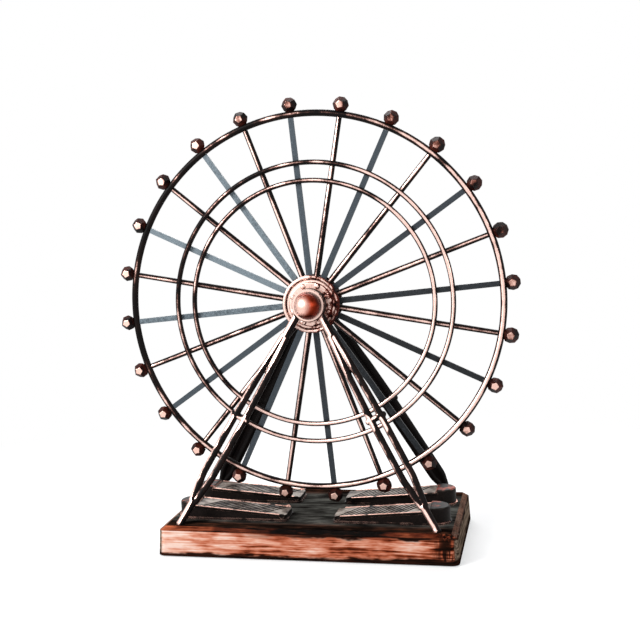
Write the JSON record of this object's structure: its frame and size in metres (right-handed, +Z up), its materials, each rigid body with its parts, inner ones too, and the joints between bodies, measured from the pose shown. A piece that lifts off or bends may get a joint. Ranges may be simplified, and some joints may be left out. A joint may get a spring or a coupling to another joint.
{
  "type": "ferris wheel desk toy",
  "caption": "Desk-top observation wheel in antique copper: spoked wheel with faceted capsules, free to turn on an axle between twin-bar legs on a plinth.",
  "frame": {"origin": "centre of the plinth's underside, on the face of the pad that rests on the table", "axes": "+Z up through the middle of the wheel; +X along the plinth's long side, to the right seen from the front; -Y is the front, and the axle lies along Y"},
  "size_m": [0.1542, 0.065, 0.1677],
  "materials": {
    "antique_copper": "antique copper plate, black patina rubbed back on the edges",
    "rubbed_copper": "antique copper plate, rubbed bright on raised parts",
    "spoke_copper": "dark antique copper plate, satin",
    "polished_copper": "polished copper plate",
    "steel": "plain turned steel",
    "pad": "black felt"
  },
  "bodies": {
    "stand": {"axle_ball_nut": "polished_copper", "axle_pin": "polished_copper", "base_pad": "pad", "base_plinth": "antique_copper", "bearing_front": "antique_copper", "bearing_rear": "antique_copper", "leg_front_left": "antique_copper", "leg_front_right": "antique_copper", "leg_rear_left": "antique_copper", "leg_rear_right": "antique_copper", "leg_screws": "steel", "ramp_front_left": "antique_copper", "ramp_front_right": "antique_copper", "ramp_rear_left": "antique_copper", "ramp_rear_right": "antique_copper", "thrust_washers": "steel"},
    "wheel": {"capsule_01": "rubbed_copper", "capsule_02": "rubbed_copper", "capsule_03": "rubbed_copper", "capsule_04": "rubbed_copper", "capsule_05": "rubbed_copper", "capsule_06": "rubbed_copper", "capsule_07": "rubbed_copper", "capsule_08": "rubbed_copper", "capsule_09": "rubbed_copper", "capsule_10": "rubbed_copper", "capsule_11": "rubbed_copper", "capsule_12": "rubbed_copper", "capsule_13": "rubbed_copper", "capsule_14": "rubbed_copper", "capsule_15": "rubbed_copper", "capsule_16": "rubbed_copper", "capsule_17": "rubbed_copper", "capsule_18": "rubbed_copper", "capsule_19": "rubbed_copper", "capsule_20": "rubbed_copper", "capsule_21": "rubbed_copper", "capsule_22": "rubbed_copper", "capsule_23": "rubbed_copper", "capsule_24": "rubbed_copper", "flat_spokes": "spoke_copper", "hub_drum": "antique_copper", "hub_flange_front": "rubbed_copper", "hub_flange_rear": "rubbed_copper", "round_spoke_01": "spoke_copper", "round_spoke_02": "spoke_copper", "round_spoke_03": "spoke_copper", "round_spoke_04": "spoke_copper", "round_spoke_05": "spoke_copper", "round_spoke_06": "spoke_copper", "round_spoke_07": "spoke_copper", "round_spoke_08": "spoke_copper", "round_spoke_09": "spoke_copper", "round_spoke_10": "spoke_copper", "round_spoke_11": "spoke_copper", "round_spoke_12": "spoke_copper", "wheel_inner_ring": "rubbed_copper", "wheel_outer_ring": "rubbed_copper", "wheel_rim": "rubbed_copper"}
  },
  "joints": [
    {"name": "wheel_spin", "type": "hinge", "parent": "stand", "child": "wheel", "pos_m": [0, 0, 0.0906], "axis": [0, 1, 0], "continuous": true}
  ]
}
